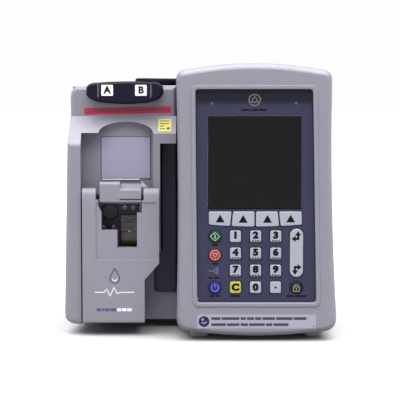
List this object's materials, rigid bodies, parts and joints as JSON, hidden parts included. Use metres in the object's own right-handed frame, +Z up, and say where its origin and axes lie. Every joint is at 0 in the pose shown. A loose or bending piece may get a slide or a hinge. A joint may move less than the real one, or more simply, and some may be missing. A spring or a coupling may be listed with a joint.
{
  "type": "infusion pump",
  "caption": "Bedside infusion pump with keypad and display, tilting cassette door with lifting handle, carrying handle and pole clamp.",
  "frame": {"origin": "middle of the overall footprint, on the surface the feet stand on", "axes": "+Z up, the display faces -Y, +X to the right as seen from the front"},
  "size_m": [0.2032, 0.2, 0.2043],
  "materials": {
    "case_plastic": "light grey moulded case plastic, fine satin texture",
    "pale_plastic": "smooth pale lavender-grey insert",
    "navy_panel": "slate-blue keypad overlay, slightly pebbled",
    "black_plastic": "near-black navy moulded plastic",
    "base_plastic": "dark grey moulded base",
    "purple_plastic": "dark purple moulded handle",
    "grey_rubber": "grey foot rubber",
    "black_rubber": "black rubber",
    "key_grey": "pale grey key rubber",
    "key_yellow": "yellow key",
    "key_green": "green key",
    "key_red": "red key",
    "key_blue": "blue key",
    "key_black": "black key",
    "screen_glass": "dark display window",
    "circuit_board": "circuit board",
    "cast_alloy": "cast and machined alloy",
    "steel": "turned steel",
    "sensor_window": "dark red sensor window",
    "battery_wrap": "battery wrap"
  },
  "bodies": {
    "pump": {"display_case": "case_plastic", "mechanism_housing": "case_plastic", "rear_housing": "case_plastic", "battery_door": "case_plastic", "recess_panel": "pale_plastic", "keypad_panel": "navy_panel", "side_panel": "black_plastic", "mechanism_chassis": "black_plastic", "power_inlet": "black_plastic", "speaker": "black_plastic", "base_tray": "base_plastic", "carry_handle": "purple_plastic", "foot_front_left": "grey_rubber", "foot_front_right": "grey_rubber", "foot_rear_left": "grey_rubber", "foot_rear_right": "grey_rubber", "screen_glass": "screen_glass", "keypad_board": "circuit_board", "main_board": "circuit_board", "clamp_frame": "cast_alloy", "plunger_motor": "cast_alloy", "power_supply": "cast_alloy", "lcd_module": "cast_alloy", "door_hinge_pin": "steel", "air_sensor": "sensor_window", "battery_pack": "battery_wrap"},
    "soft_key_1": {"soft_key_1": "key_grey"},
    "soft_key_2": {"soft_key_2": "key_grey"},
    "soft_key_3": {"soft_key_3": "key_grey"},
    "soft_key_4": {"soft_key_4": "key_grey"},
    "key_0": {"key_0": "key_grey"},
    "key_1": {"key_1": "key_grey"},
    "key_2": {"key_2": "key_grey"},
    "key_3": {"key_3": "key_grey"},
    "key_4": {"key_4": "key_grey"},
    "key_5": {"key_5": "key_grey"},
    "key_6": {"key_6": "key_grey"},
    "key_7": {"key_7": "key_grey"},
    "key_8": {"key_8": "key_grey"},
    "key_9": {"key_9": "key_grey"},
    "key_clear": {"key_clear": "key_yellow"},
    "key_point": {"key_point": "key_grey"},
    "start_key": {"start_key": "key_green"},
    "stop_key": {"stop_key": "key_red"},
    "power_key": {"power_key": "key_blue"},
    "lock_key": {"lock_key": "key_black"},
    "select_rocker": {"select_rocker": "key_grey"},
    "cassette_door": {"cassette_door": "case_plastic", "handle_shaft": "black_plastic"},
    "door_handle": {"door_handle": "case_plastic"},
    "plunger": {"plunger": "black_rubber"},
    "plunger_screw": {"plunger_screw": "steel"},
    "inlet_valve_pin": {"inlet_valve_pin": "steel"},
    "outlet_valve_pin": {"outlet_valve_pin": "steel"},
    "line_a_valve_pin": {"line_a_valve_pin": "steel"},
    "line_b_valve_pin": {"line_b_valve_pin": "steel"},
    "volume_knob": {"volume_knob": "black_plastic"},
    "clamp_pad": {"clamp_pad": "black_rubber"},
    "clamp_screw": {"clamp_screw": "steel", "clamp_knob": "black_plastic"}
  },
  "joints": [
    {"name": "soft_key_1_press", "type": "slide", "parent": "pump", "child": "soft_key_1", "axis": [0, 1, 0], "range_m": [0, 0.0008], "stiffness_N_per_m": 600},
    {"name": "soft_key_2_press", "type": "slide", "parent": "pump", "child": "soft_key_2", "axis": [0, 1, 0], "range_m": [0, 0.0008], "stiffness_N_per_m": 600},
    {"name": "soft_key_3_press", "type": "slide", "parent": "pump", "child": "soft_key_3", "axis": [0, 1, 0], "range_m": [0, 0.0008], "stiffness_N_per_m": 600},
    {"name": "soft_key_4_press", "type": "slide", "parent": "pump", "child": "soft_key_4", "axis": [0, 1, 0], "range_m": [0, 0.0008], "stiffness_N_per_m": 600},
    {"name": "key_0_press", "type": "slide", "parent": "pump", "child": "key_0", "axis": [0, 1, 0], "range_m": [0, 0.0008], "stiffness_N_per_m": 600},
    {"name": "key_1_press", "type": "slide", "parent": "pump", "child": "key_1", "axis": [0, 1, 0], "range_m": [0, 0.0008], "stiffness_N_per_m": 600},
    {"name": "key_2_press", "type": "slide", "parent": "pump", "child": "key_2", "axis": [0, 1, 0], "range_m": [0, 0.0008], "stiffness_N_per_m": 600},
    {"name": "key_3_press", "type": "slide", "parent": "pump", "child": "key_3", "axis": [0, 1, 0], "range_m": [0, 0.0008], "stiffness_N_per_m": 600},
    {"name": "key_4_press", "type": "slide", "parent": "pump", "child": "key_4", "axis": [0, 1, 0], "range_m": [0, 0.0008], "stiffness_N_per_m": 600},
    {"name": "key_5_press", "type": "slide", "parent": "pump", "child": "key_5", "axis": [0, 1, 0], "range_m": [0, 0.0008], "stiffness_N_per_m": 600},
    {"name": "key_6_press", "type": "slide", "parent": "pump", "child": "key_6", "axis": [0, 1, 0], "range_m": [0, 0.0008], "stiffness_N_per_m": 600},
    {"name": "key_7_press", "type": "slide", "parent": "pump", "child": "key_7", "axis": [0, 1, 0], "range_m": [0, 0.0008], "stiffness_N_per_m": 600},
    {"name": "key_8_press", "type": "slide", "parent": "pump", "child": "key_8", "axis": [0, 1, 0], "range_m": [0, 0.0008], "stiffness_N_per_m": 600},
    {"name": "key_9_press", "type": "slide", "parent": "pump", "child": "key_9", "axis": [0, 1, 0], "range_m": [0, 0.0008], "stiffness_N_per_m": 600},
    {"name": "key_clear_press", "type": "slide", "parent": "pump", "child": "key_clear", "axis": [0, 1, 0], "range_m": [0, 0.0008], "stiffness_N_per_m": 600},
    {"name": "key_point_press", "type": "slide", "parent": "pump", "child": "key_point", "axis": [0, 1, 0], "range_m": [0, 0.0008], "stiffness_N_per_m": 600},
    {"name": "start_key_press", "type": "slide", "parent": "pump", "child": "start_key", "axis": [0, 1, 0], "range_m": [0, 0.0008], "stiffness_N_per_m": 600},
    {"name": "stop_key_press", "type": "slide", "parent": "pump", "child": "stop_key", "axis": [0, 1, 0], "range_m": [0, 0.0008], "stiffness_N_per_m": 600},
    {"name": "power_key_press", "type": "slide", "parent": "pump", "child": "power_key", "axis": [0, 1, 0], "range_m": [0, 0.0008], "stiffness_N_per_m": 600},
    {"name": "lock_key_press", "type": "slide", "parent": "pump", "child": "lock_key", "axis": [0, 1, 0], "range_m": [0, 0.0008], "stiffness_N_per_m": 600},
    {"name": "select_tip", "type": "hinge", "parent": "pump", "child": "select_rocker", "pos_m": [0.0714, -0.095, 0.0655], "axis": [1, 0, 0], "range_deg": [-3, 3], "stiffness_Nm_per_rad": 0.08},
    {"name": "door_tilt", "type": "hinge", "parent": "pump", "child": "cassette_door", "pos_m": [-0.0644, -0.062, 0.017], "axis": [1, 0, 0], "range_deg": [0, 32]},
    {"name": "handle_lift", "type": "hinge", "parent": "cassette_door", "child": "door_handle", "pos_m": [-0.0594, -0.072, 0.1065], "axis": [-1, 0, 0], "range_deg": [0, 112]},
    {"name": "screw_turn", "type": "hinge", "parent": "pump", "child": "plunger_screw", "pos_m": [-0.0681, -0.01, 0.0917], "axis": [0, 1, 0], "range_deg": [0, 1080]},
    {"name": "plunger_stroke", "type": "slide", "parent": "pump", "child": "plunger", "axis": [0, -1, 0], "range_m": [0, 0.0045]},
    {"name": "inlet_valve_stroke", "type": "slide", "parent": "pump", "child": "inlet_valve_pin", "axis": [0, -1, 0], "range_m": [0, 0.0015]},
    {"name": "outlet_valve_stroke", "type": "slide", "parent": "pump", "child": "outlet_valve_pin", "axis": [0, -1, 0], "range_m": [-0.0015, 0]},
    {"name": "line_a_valve_stroke", "type": "slide", "parent": "pump", "child": "line_a_valve_pin", "axis": [0, -1, 0], "range_m": [0, 0.0015]},
    {"name": "line_b_valve_stroke", "type": "slide", "parent": "pump", "child": "line_b_valve_pin", "axis": [0, -1, 0], "range_m": [-0.0015, 0]},
    {"name": "pad_advance", "type": "slide", "parent": "pump", "child": "clamp_pad", "axis": [1, 0, 0], "range_m": [0, 0.024]},
    {"name": "knob_turn", "type": "hinge", "parent": "clamp_pad", "child": "clamp_screw", "pos_m": [-0.0294, 0.078, 0.106], "axis": [1, 0, 0], "range_deg": [0, 3600]},
    {"name": "volume_turn", "type": "hinge", "parent": "pump", "child": "volume_knob", "pos_m": [-0.0714, 0.055, 0.148], "axis": [0, 1, 0], "range_deg": [0, 270]}
  ],
  "couplings": [
    {"joint": "door_tilt", "follows": "handle_lift", "ratio": 0.2857},
    {"joint": "plunger_stroke", "follows": "screw_turn", "m_per_rad": 0.000238},
    {"joint": "outlet_valve_stroke", "follows": "inlet_valve_stroke", "ratio": -1},
    {"joint": "line_b_valve_stroke", "follows": "line_a_valve_stroke", "ratio": -1},
    {"joint": "knob_turn", "follows": "pad_advance", "rad_per_m": 2617.9}
  ]
}
